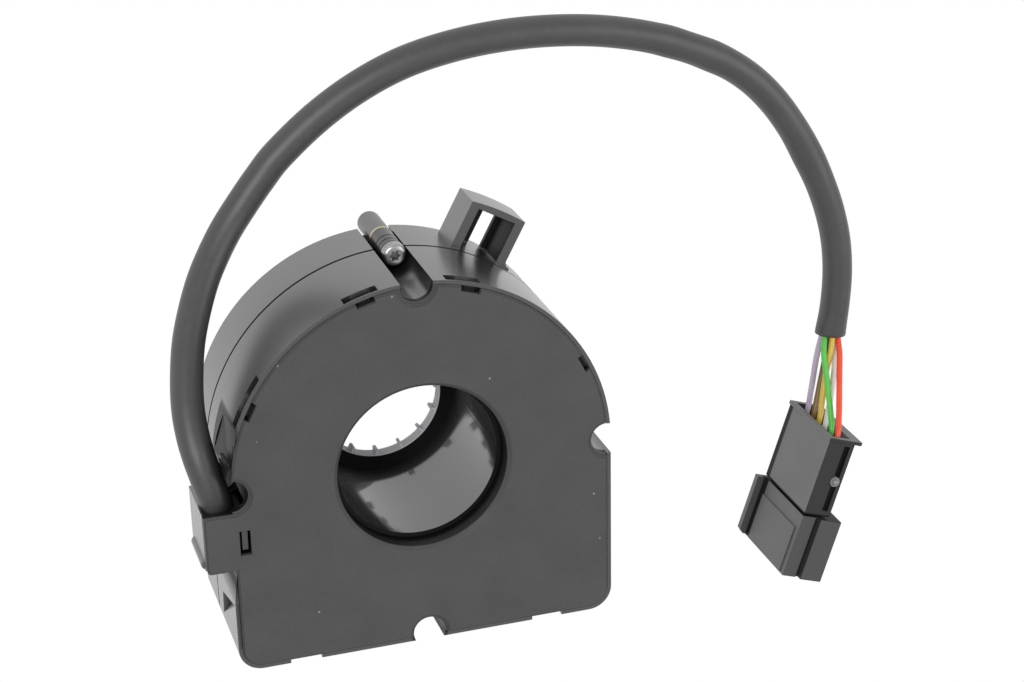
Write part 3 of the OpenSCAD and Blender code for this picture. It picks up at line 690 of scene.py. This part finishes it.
class Finish(Enum):
    """The finishes, by the name of what they cover."""

    SHELL = Plastic(
        (0.014, 0.014, 0.016), rough=0.5, ior=1.3, coat=1.0, coat_rough=0.27, coat_ior=2.1,
        grain=0.0, dust=0.002, painted_shade_colour=(0.006, 0.006, 0.006), zones=SHELL_ZONES,
    )
    # Near-black under 43 mm height: painted shade on the cover's lower faces.
    COVER = Plastic(
        (0.072, 0.072, 0.074), rough=0.42, ior=1.45, specular=0.25, grain=0.00001, dust=0.003,
        edge=0.0003, painted_shade_colour=(0.008, 0.008, 0.009), dark_under=0.043,
    )
    HUB = Plastic(
        (0.02, 0.02, 0.022), rough=0.5, ior=1.3, coat=1.0, coat_rough=0.1, coat_ior=2.0,
        grain=0.0, painted_shade_colour=(0.005, 0.005, 0.005), zones=HUB_ZONES,
    )
    # Light grey inside 15.4 mm from the bore axis: a painted reflection of the white surround on
    # the inner wall. Near-black beyond it: painted shade.
    RING = Plastic(
        (0.75, 0.75, 0.77), rough=0.5, ior=1.4, edge=0.0002, specular=0.2,
        inner_radius=0.0154, painted_shade_colour=(0.006, 0.006, 0.006),
    )
    GEAR = Plastic((0.72, 0.7, 0.62), rough=0.4, edge=0.0001)
    MAGNET = Plastic((0.3, 0.3, 0.32), rough=0.35, metal=1.0)
    BOARD = Plastic((0.015, 0.13, 0.05), rough=0.3, shade=0.25)
    CHIP = Plastic((0.012, 0.012, 0.013), rough=0.45)
    CAPACITOR = Plastic((0.45, 0.32, 0.16), rough=0.5)
    HEADER = Plastic((0.02, 0.02, 0.02), rough=0.45)
    STEEL = Plastic(
        (0.45, 0.455, 0.46), rough=0.3, metal=1.0, grain=0.0,
        painted_shade_colour=(0.01, 0.01, 0.01), zones=SCREW_ZONES,
    )
    CLIP = Plastic((0.14, 0.14, 0.145), rough=0.35, metal=1.0, grain=0.0)
    COLLAR = Plastic((0.06, 0.06, 0.063), rough=0.3, metal=0.5, ior=1.7, grain=0.0)
    BRASS = Plastic((0.56, 0.5, 0.34), rough=0.35, metal=1.0, grain=0.0)
    SLEEVE = Plastic((0.21, 0.21, 0.215), rough=0.42, metal=1.0, grain=0.0)
    GLAND = Plastic((0.012, 0.012, 0.013), rough=0.5)
    LEAD = Plastic(
        (0.058, 0.058, 0.059), grain=0.00002, grain_scale=900.0, dust=0.004,
        painted_shade_colour=(0.004, 0.004, 0.004), zones=LEAD_ZONES,
    )
    VIOLET = Plastic((0.46, 0.38, 0.50), rough=0.35)
    BROWN = Plastic((0.155, 0.10, 0.022), rough=0.35)
    YELLOW = Plastic((0.62, 0.43, 0.06), rough=0.35)
    WHITE = Plastic((0.62, 0.60, 0.55), rough=0.35)
    GREEN = Plastic((0.10, 0.50, 0.07), rough=0.35)
    RED = Plastic((0.80, 0.075, 0.03), rough=0.35)
    # Faces that look up take a darker colour as painted shade; the boxes add painted shade in gaps
    # and grooves.
    PLUG = Plastic(
        (0.16, 0.162, 0.162), rough=0.5, specular=0.25, edge=0.0002, dust=0.003,
        painted_top_shade=(0.032, 0.032, 0.032), painted_shade_colour=(0.006, 0.006, 0.006),
        zones=PLUG_ZONES,
    )
    # Faces that look up take a darker colour as painted shade; the boxes add painted shade in gaps
    # and grooves.
    SHROUD = Plastic(
        (0.135, 0.135, 0.135), rough=0.5, specular=0.3, edge=0.0002, dust=0.003,
        painted_top_shade=(0.07, 0.07, 0.07), painted_shade_colour=(0.01, 0.01, 0.01),
        zones=SHROUD_ZONES,
    )
    PEG = Plastic((0.2, 0.2, 0.21), rough=0.3, ior=1.6)
    CONTACT = Plastic((0.78, 0.66, 0.4), rough=0.3, metal=1.0)


NODE_FINISH: dict[str, Finish] = {
    "rear_shell": Finish.SHELL,
    "front_shell": Finish.SHELL,
    "front_cover": Finish.COVER,
    "rotor_hub": Finish.HUB,
    "driver_ring": Finish.RING,
    "measuring_gear_a": Finish.GEAR,
    "measuring_gear_b": Finish.GEAR,
    "magnet_a": Finish.MAGNET,
    "magnet_b": Finish.MAGNET,
    "circuit_board": Finish.BOARD,
    "angle_chip_a": Finish.CHIP,
    "angle_chip_b": Finish.CHIP,
    "processor_chip": Finish.CHIP,
    "board_capacitors": Finish.CAPACITOR,
    "wire_header": Finish.HEADER,
    "board_screws": Finish.STEEL,
    "fixing_screw": Finish.STEEL,
    "screw_collar": Finish.COLLAR,
    "brass_ring": Finish.BRASS,
    "spacer_sleeve": Finish.SLEEVE,
    "cable_gland": Finish.GLAND,
    "gland_clip": Finish.CLIP,
    "connector_body": Finish.PLUG,
    "connector_shroud": Finish.SHROUD,
    "connector_peg": Finish.PEG,
    "contact_pins": Finish.CONTACT,
}


class Finisher:
    """Builds each material once and hands it out."""

    def __init__(self) -> None:
        """Builds the shared groups."""
        self.groups = Groups()
        self.made: dict[Finish, bpy.types.Material] = {}

    def material(self, finish: Finish) -> bpy.types.Material:
        """Builds the material of a finish, or finds the one that was built.

        Args:
            finish: The finish.

        Returns:
            Its material.
        """
        if finish not in self.made:
            self.made[finish] = finish.value.build(finish.name.lower() + "_finish", self.groups)
        return self.made[finish]

    def dress(self, piece: bpy.types.Object, finish: Finish) -> None:
        """Gives a piece one finish and no other."""
        piece.data.materials.clear()
        piece.data.materials.append(self.material(finish))


# ---------------------------------------------------------------- camera and studio


@dataclass
class PhotoCamera:
    """The camera, solved from the photograph's edges.

    Attributes:
        place_mm: Where it stands.
        right: Direction to the picture's right.
        up: Direction to the picture's top.
        focal_px: Focal length in pixels of the photograph.
        width_px: Width of the photograph in pixels.
        sensor_mm: Width of the camera's sensor.
        nearest: Nearest distance that it sees.
        farthest: Farthest distance that it sees.
    """

    place_mm: Triple = (-114.106, 219.897, 476.120)
    right: Triple = (0.9517, -0.0195, 0.3064)
    up: Triple = (0.1368, 0.9203, -0.3665)
    focal_px: float = 2231.44
    width_px: int = 1024
    sensor_mm: float = 36.0
    nearest: float = 0.01
    farthest: float = 20.0

    def build(self) -> bpy.types.Object:
        """Makes the camera and sets it as the scene's.

        Returns:
            The camera object.
        """
        right = Vector(self.right).normalized()
        back = right.cross(Vector(self.up)).normalized()
        up = back.cross(right)
        turn = Matrix((right, up, back)).transposed().to_4x4()
        data = bpy.data.cameras.new("photo_camera")
        data.sensor_width = self.sensor_mm
        data.lens = self.focal_px * self.sensor_mm / self.width_px
        data.clip_start, data.clip_end = self.nearest, self.farthest
        camera = bpy.data.objects.new("photo_camera", data)
        camera.matrix_world = Matrix.Translation(Vector(self.place_mm) * MM) @ turn
        bpy.context.scene.collection.objects.link(camera)
        bpy.context.scene.camera = camera
        return camera


@dataclass(frozen=True)
class Lamp:
    """A soft square lamp that points at the sensor.

    Attributes:
        name: The lamp's name.
        place: Where it hangs.
        size: Side of the square.
        watts: Its power.
    """

    name: str
    place: Triple
    size: float
    watts: float

    def build(self) -> None:
        """Makes the lamp and turns it towards the origin."""
        data = bpy.data.lights.new(self.name, "AREA")
        data.shape, data.size, data.energy = "SQUARE", self.size, self.watts
        lamp = bpy.data.objects.new(self.name, data)
        lamp.location = self.place
        lamp.rotation_euler = (-Vector(self.place)).to_track_quat("-Z", "Y").to_euler()
        bpy.context.scene.collection.objects.link(lamp)


@dataclass
class Studio:
    """White table, white surround and soft lamps.

    Attributes:
        table_side: Side of the square table in metres.
        table_drop: How far the table lies under the sensor, so that faces don't coincide.
        table_colour: Its colour as a surface, which keeps the shadow.
        sky: Strength of the surround as a light.
        lamps: The lamps.
    """

    table_side: float = 6.0
    table_drop: float = 0.0003
    table_colour: tuple[float, float, float, float] = (0.93, 0.93, 0.93, 1.0)
    sky: float = 0.75
    lamps: tuple[Lamp, ...] = (
        Lamp("key_lamp", (-0.6, 0.5, 1.1), 0.8, 9.0),
        Lamp("fill_lamp", (0.9, 0.2, 0.9), 0.9, 5.0),
    )

    def lit_white(self, name: str) -> bpy.types.Material:
        """Makes a matt surface that the camera and glossy surfaces see as plain white.

        Args:
            name: The material's name.

        Returns:
            The material.
        """
        material = bpy.data.materials.new(name)
        material.use_nodes = True
        kit = NodeKit(material.node_tree)
        kit.tree.nodes.clear()
        out = kit.node("ShaderNodeOutputMaterial")
        matt = kit.node("ShaderNodeBsdfDiffuse")
        matt.inputs["Color"].default_value = self.table_colour
        light = kit.node("ShaderNodeEmission")
        light.inputs["Color"].default_value = (1.0, 1.0, 1.0, 1.0)
        rays = kit.node("ShaderNodeLightPath")
        seen = kit.math("MAXIMUM", rays.outputs["Is Camera Ray"], rays.outputs["Is Glossy Ray"])
        seen = kit.math("MAXIMUM", seen, rays.outputs["Is Transmission Ray"])
        mix = kit.node("ShaderNodeMixShader")
        kit.link(seen, mix.inputs[0])
        kit.link(matt.outputs[0], mix.inputs[1])
        kit.link(light.outputs[0], mix.inputs[2])
        kit.link(mix.outputs[0], out.inputs["Surface"])
        return material

    def world(self) -> None:
        """Makes the surround: plain white for what is seen, dimmer as a light."""
        world = bpy.data.worlds.new("white_tent")
        bpy.context.scene.world = world
        world.use_nodes = True
        kit = NodeKit(world.node_tree)
        kit.tree.nodes.clear()
        out = kit.node("ShaderNodeOutputWorld")
        sky = kit.node("ShaderNodeBackground")
        rays = kit.node("ShaderNodeLightPath")
        camera, through = rays.outputs["Is Camera Ray"], rays.outputs["Is Transmission Ray"]
        seen = kit.math("MAXIMUM", camera, through)
        kit.link(kit.ramp(seen, 0.0, 1.0, self.sky, 1.0), sky.inputs["Strength"])
        kit.link(sky.outputs[0], out.inputs["Surface"])

    def build(self) -> None:
        """Makes the table, the surround and the lamps."""
        square = np.array([[-1.0, -1.0], [1.0, -1.0], [1.0, 1.0], [-1.0, 1.0]])
        corners = np.column_stack([square * self.table_side / 2, np.full(4, -self.table_drop)])
        table = make_object("table", corners, [[0, 1, 2, 3]], smooth=False)
        table.data.materials.append(self.lit_white("table_white"))
        self.world()
        for lamp in self.lamps:
            lamp.build()


# ---------------------------------------------------------------- lead and wires


@dataclass
class Lead:
    """The thick lead from the gland to the cut end of its sleeve.

    Attributes:
        diameter_mm: Outer diameter.
        rings: Rings of points along the lead.
        sides: Points on each ring.
        route_mm: The route's points, as in the part's source.
        kinks: Soft flats, each with its place along the lead, its depth and its width as
            shares. The last one presses the cut end wider.
    """

    diameter_mm: float = 7.4
    rings: int = 360
    sides: int = 40
    route_mm: tuple[Triple, ...] = (
        (-45.7, -12, 36.4), (-45.7, -8, 36.4), (-45.9, -4, 36.4), (-47.2, 1.4, 36),
        (-48.4, 6.4, 34.5), (-49, 10.4, 32.2), (-49.1, 15.2, 28.8), (-48.3, 20.5, 24.6),
        (-46.5, 27, 19.4), (-44, 32.6, 15), (-41, 38, 11), (-37.8, 42.6, 8), (-34, 47.6, 5.6),
        (-29.8, 52.6, 4.2), (-25, 58.4, 3.7), (-20.4, 63.5, 3.7), (-11.3, 71, 3.7),
        (-1.4, 77.1, 3.7), (9.3, 81.6, 3.7), (21.2, 84.3, 3.7), (33.6, 85.5, 3.7),
        (46.3, 85.3, 3.7), (59.2, 83.7, 3.7), (72.1, 80.4, 3.7), (84.8, 75.1, 3.7),
        (93.1, 69.9, 3.7), (99.8, 63.5, 3.7), (105.4, 56, 3.7), (109.8, 48.4, 3.7),
        (113.6, 40.6, 3.7), (116.6, 32.6, 3.7), (118.6, 24.4, 3.7), (119.4, 16, 3.7),
        (119.1, 7.6, 3.7), (118.1, -0.6, 3.7),
    )
    kinks: tuple[Triple, ...] = (
        (0.66, 0.03, 0.01), (0.7, 0.04, 0.012), (0.83, 0.06, 0.02), (1.0, 0.1, 0.012),
    )

    def build(self, finisher: Finisher) -> bpy.types.Object:
        """Makes the lead as a fine tube with soft flats where it was bent and at its cut end.

        A flat's depth falls off as a bell curve to both sides of its place.

        Args:
            finisher: Hands out the materials.

        Returns:
            The lead.
        """
        path = even_path(smooth_path(np.array(self.route_mm) * MM), self.rings)
        share = np.linspace(0.0, 1.0, len(path))
        press = sum(depth * np.exp(-((share - at) / wide) ** 2) for at, depth, wide in self.kinks)
        lead = tube("lead_sleeve", path, self.diameter_mm / 2 * MM, self.sides, press)
        finisher.dress(lead, Finish.LEAD)
        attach(lead, HOUSING)
        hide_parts("cable_sleeve")
        return lead


@dataclass
class Wires:
    """The six wires between the lead's cut end and the connector.

    Attributes:
        diameter_mm: Diameter over the insulation.
        rings: Rings of points along a wire.
        sides: Points on each ring.
        connector_mm: Foot of the connector's rear edge.
        connector_turn: Turn of the connector in degrees.
        mouth_mm: Where a wire comes into the connector's pocket, from its rear edge.
        pocket_mm: Where a wire ends in the pocket, from the rear edge.
        half_thick_mm: Half of the connector's thickness.
        low_mm: Height of the lowest wire in the pocket.
        pitch_mm: Step from wire to wire.
        hidden_mm: Shifts from a route's first point to the two points inside the sleeve.
        route_mm: Each wire's points from the sleeve's cut end to the connector.
        names: The wires by colour, in the order of the routes.
        plug_pieces: The pieces that hang on the wires' far end. Not used.
    """

    diameter_mm: float = 1.5
    rings: int = 90
    sides: int = 20
    connector_mm: Triple = (109.4, -19.2, 0.0)
    connector_turn: float = CONNECTOR_TURN
    mouth_mm: float = 0.5
    pocket_mm: float = 5.0
    half_thick_mm: float = 3.625
    low_mm: float = 3.6
    pitch_mm: float = 3.5
    hidden_mm: tuple[Triple, ...] = ((1.05, 9.0, 0.0), (0.5, 4.5, 0.0))
    route_mm: tuple[tuple[Triple, ...], ...] = (
        (
            (116.5, -0.6, 2.6), (115.5, -4.6, 2.7), (114.7, -8.6, 2.9), (114.1, -12.7, 3.1),
            (113.4, -16.7, 3.4),
        ),
        (
            (118.3, -0.6, 1.8), (117.6, -4.8, 2.7), (116.6, -8.8, 3.9), (115.3, -12.8, 5),
            (114, -16.8, 6.1),
        ),
        (
            (117.9, -0.6, 5.6), (117.1, -4.7, 6.5), (115.7, -8.7, 7.4), (114.6, -12.7, 8.5),
            (113.7, -16.7, 9.6),
        ),
        (
            (119.9, -0.6, 2.9), (119, -4.9, 4.8), (117.9, -9, 7.3), (116.3, -12.9, 9.7),
            (114.5, -16.8, 12.1),
        ),
        (
            (116.3, -0.6, 4.5), (115, -4.5, 6.9), (114.5, -8.5, 9.7), (113.9, -12.6, 12.5),
            (113.4, -16.6, 15.2),
        ),
        (
            (119.7, -0.6, 4.8), (118.9, -4.8, 7.9), (117.4, -8.8, 11.3), (115.9, -12.7, 14.7),
            (114.3, -16.6, 18.2),
        ),
    )
    names: tuple[str, ...] = ("violet", "brown", "yellow", "white", "green", "red")
    plug_pieces: tuple[str, ...] = (
        "connector_body", "connector_shroud", "connector_peg", "contact_pins",
    )

    def in_connector(self, x: float, y: float, z: float) -> np.ndarray:
        """Turns a point of the connector's own frame into the part's frame.

        Args:
            x: Along the connector, from its rear edge.
            y: Across its thickness.
            z: Height.

        Returns:
            The point in the part's frame.
        """
        turn = math.radians(self.connector_turn)
        c, s = math.cos(turn), math.sin(turn)
        return np.array(self.connector_mm) + np.array([x * c - y * s, x * s + y * c, z])

    def route(self, index: int) -> np.ndarray:
        """Works out one wire's centreline, from inside the sleeve into the connector.

        Args:
            index: The wire's number, from the lowest one in the connector.

        Returns:
            The centreline's samples in metres.
        """
        points = [np.array(p) for p in self.route_mm[index]]
        height = self.low_mm + index * self.pitch_mm
        depths = (self.mouth_mm, self.pocket_mm)
        ends = [self.in_connector(x, self.half_thick_mm, height) for x in depths]
        knots = np.array([points[0] + shift for shift in self.hidden_mm] + points + ends)
        return even_path(smooth_path(knots * MM), self.rings)

    def build(self, finisher: Finisher) -> list[bpy.types.Object]:
        """Makes the six wires.

        Args:
            finisher: Hands out the materials.

        Returns:
            The wires, in the connector's order.
        """
        made = []
        for index, name in enumerate(self.names):
            path = self.route(index)
            wire = tube(f"lead_wire_{name}", path, self.diameter_mm / 2 * MM, self.sides)
            finisher.dress(wire, Finish[name.upper()])
            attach(wire, HOUSING)
            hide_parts(f"wire_{name}")
            made.append(wire)
        return made


# ---------------------------------------------------------------- the whole


def dress_nodes(nodes: dict[str, bpy.types.Object], finisher: Finisher) -> None:
    """Gives each CAD node its finish.

    Args:
        nodes: The nodes by name.
        finisher: Hands out the materials.
    """
    for name, finish in NODE_FINISH.items():
        finisher.dress(nodes[name], finish)
        LOG.info("dressed %s", name)


def main() -> None:
    logging.basicConfig(level=logging.INFO)
    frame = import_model()
    PhotoCamera().build()
    finisher = Finisher()
    Lead().build(finisher)
    Wires().build(finisher)
    dress_nodes(frame["nodes"], finisher)
    Studio().build()
    bpy.context.scene.view_settings.view_transform = "Standard"


if __name__ == "__main__":
    main()
